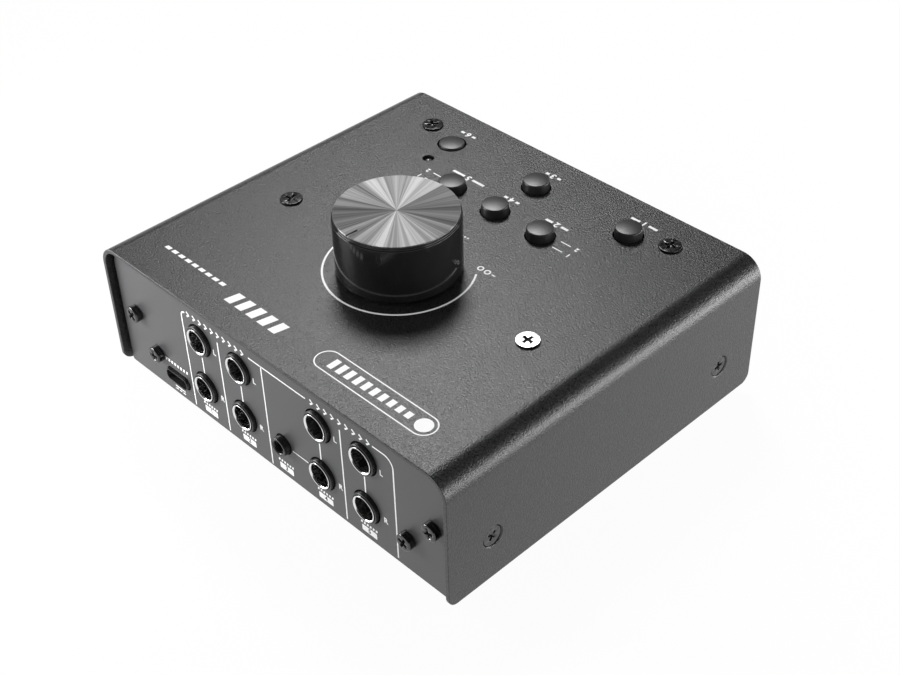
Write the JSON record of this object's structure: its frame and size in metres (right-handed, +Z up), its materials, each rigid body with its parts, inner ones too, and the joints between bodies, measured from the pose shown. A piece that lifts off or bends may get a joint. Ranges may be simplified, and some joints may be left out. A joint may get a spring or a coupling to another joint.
{
  "type": "studio monitor controller",
  "caption": "Desktop studio monitor controller: folded steel case with a large volume knob, push buttons on top and jack sockets in the rear panel.",
  "frame": {"origin": "middle of the footprint on the table, under the feet", "axes": "+Z up, the user sits at -Y, the sockets face +Y, +X is the user's right"},
  "size_m": [0.13, 0.113, 0.0595],
  "materials": {
    "powder_coat": "dark grey powder coat with a fine sparkle",
    "panel_paint": "smooth dark grey paint with white print",
    "plated_steel": "dull zinc plate",
    "foot_rubber": "matt",
    "black_screw": "black oxide, semi gloss",
    "circuit_board": "solder mask",
    "grey_cable": "soft cable sheath",
    "black_plastic": "moulded",
    "socket_plastic": "moulded, slight gloss",
    "knob_black": "polished black",
    "spun_aluminium": "turned dark aluminium with fine rings",
    "button_black": "semi gloss moulded",
    "clear_resin": "clear lamp resin",
    "bright_metal": "bright plated ring",
    "socket_metal": "plated shell"
  },
  "bodies": {
    "case": {"cover": "powder_coat", "rear_panel": "panel_paint", "front_panel": "panel_paint", "chassis": "plated_steel", "foot_1": "foot_rubber", "foot_2": "foot_rubber", "foot_3": "foot_rubber", "foot_4": "foot_rubber", "side_screw_1": "black_screw", "side_screw_2": "black_screw", "side_screw_3": "black_screw", "side_screw_4": "black_screw", "top_screw_1": "black_screw", "top_screw_2": "black_screw", "top_screw_3": "black_screw", "top_screw_4": "black_screw", "rear_screw_1": "black_screw", "rear_screw_2": "black_screw", "rear_screw_3": "black_screw", "rear_screw_4": "black_screw", "front_screw_1": "black_screw", "front_screw_2": "black_screw", "socket_board_screw_1": "plated_steel", "socket_board_screw_2": "plated_steel", "main_board": "circuit_board", "socket_board": "circuit_board", "board_cable": "grey_cable", "volume_pot": "black_plastic", "pot_nut": "plated_steel", "switch_body_1": "black_plastic", "switch_body_2": "black_plastic", "switch_body_3": "black_plastic", "switch_body_4": "black_plastic", "switch_body_5": "black_plastic", "switch_body_6": "black_plastic", "indicator_lamp": "clear_resin", "lamp_spacer": "black_plastic", "jack_housing_1": "socket_plastic", "jack_housing_2": "socket_plastic", "jack_housing_3": "socket_plastic", "jack_housing_4": "socket_plastic", "jack_ring_1_1": "bright_metal", "jack_ring_1_2": "bright_metal", "jack_ring_2_1": "bright_metal", "jack_ring_2_2": "bright_metal", "jack_ring_3_1": "bright_metal", "jack_ring_3_2": "bright_metal", "jack_ring_4_1": "bright_metal", "jack_ring_4_2": "bright_metal", "small_socket": "socket_plastic", "power_socket": "socket_metal"},
    "volume_knob": {"knob_body": "knob_black", "knob_disc": "spun_aluminium", "pot_shaft": "plated_steel"},
    "push_button_1": {"button_1": "button_black"},
    "push_button_2": {"button_2": "button_black"},
    "push_button_3": {"button_3": "button_black"},
    "push_button_4": {"button_4": "button_black"},
    "push_button_5": {"button_5": "button_black"},
    "push_button_6": {"button_6": "button_black"}
  },
  "joints": [
    {"name": "volume_turn", "type": "hinge", "parent": "case", "child": "volume_knob", "pos_m": [0, 0.0093, 0.042], "axis": [0, 0, 1], "range_deg": [-137.5, 142.5]},
    {"name": "button_1_press", "type": "slide", "parent": "case", "child": "push_button_1", "axis": [0, 0, -1], "range_m": [0, 0.0024], "stiffness_N_per_m": 600, "springref_m": -0.0005},
    {"name": "button_2_press", "type": "slide", "parent": "case", "child": "push_button_2", "axis": [0, 0, -1], "range_m": [0, 0.0024], "stiffness_N_per_m": 600, "springref_m": -0.0005},
    {"name": "button_3_press", "type": "slide", "parent": "case", "child": "push_button_3", "axis": [0, 0, -1], "range_m": [0, 0.0024], "stiffness_N_per_m": 600, "springref_m": -0.0005},
    {"name": "button_4_press", "type": "slide", "parent": "case", "child": "push_button_4", "axis": [0, 0, -1], "range_m": [0, 0.0024], "stiffness_N_per_m": 600, "springref_m": -0.0005},
    {"name": "button_5_press", "type": "slide", "parent": "case", "child": "push_button_5", "axis": [0, 0, -1], "range_m": [0, 0.0024], "stiffness_N_per_m": 600, "springref_m": -0.0005},
    {"name": "button_6_press", "type": "slide", "parent": "case", "child": "push_button_6", "axis": [0, 0, -1], "range_m": [-0.0021, 0.0003], "stiffness_N_per_m": 600}
  ]
}
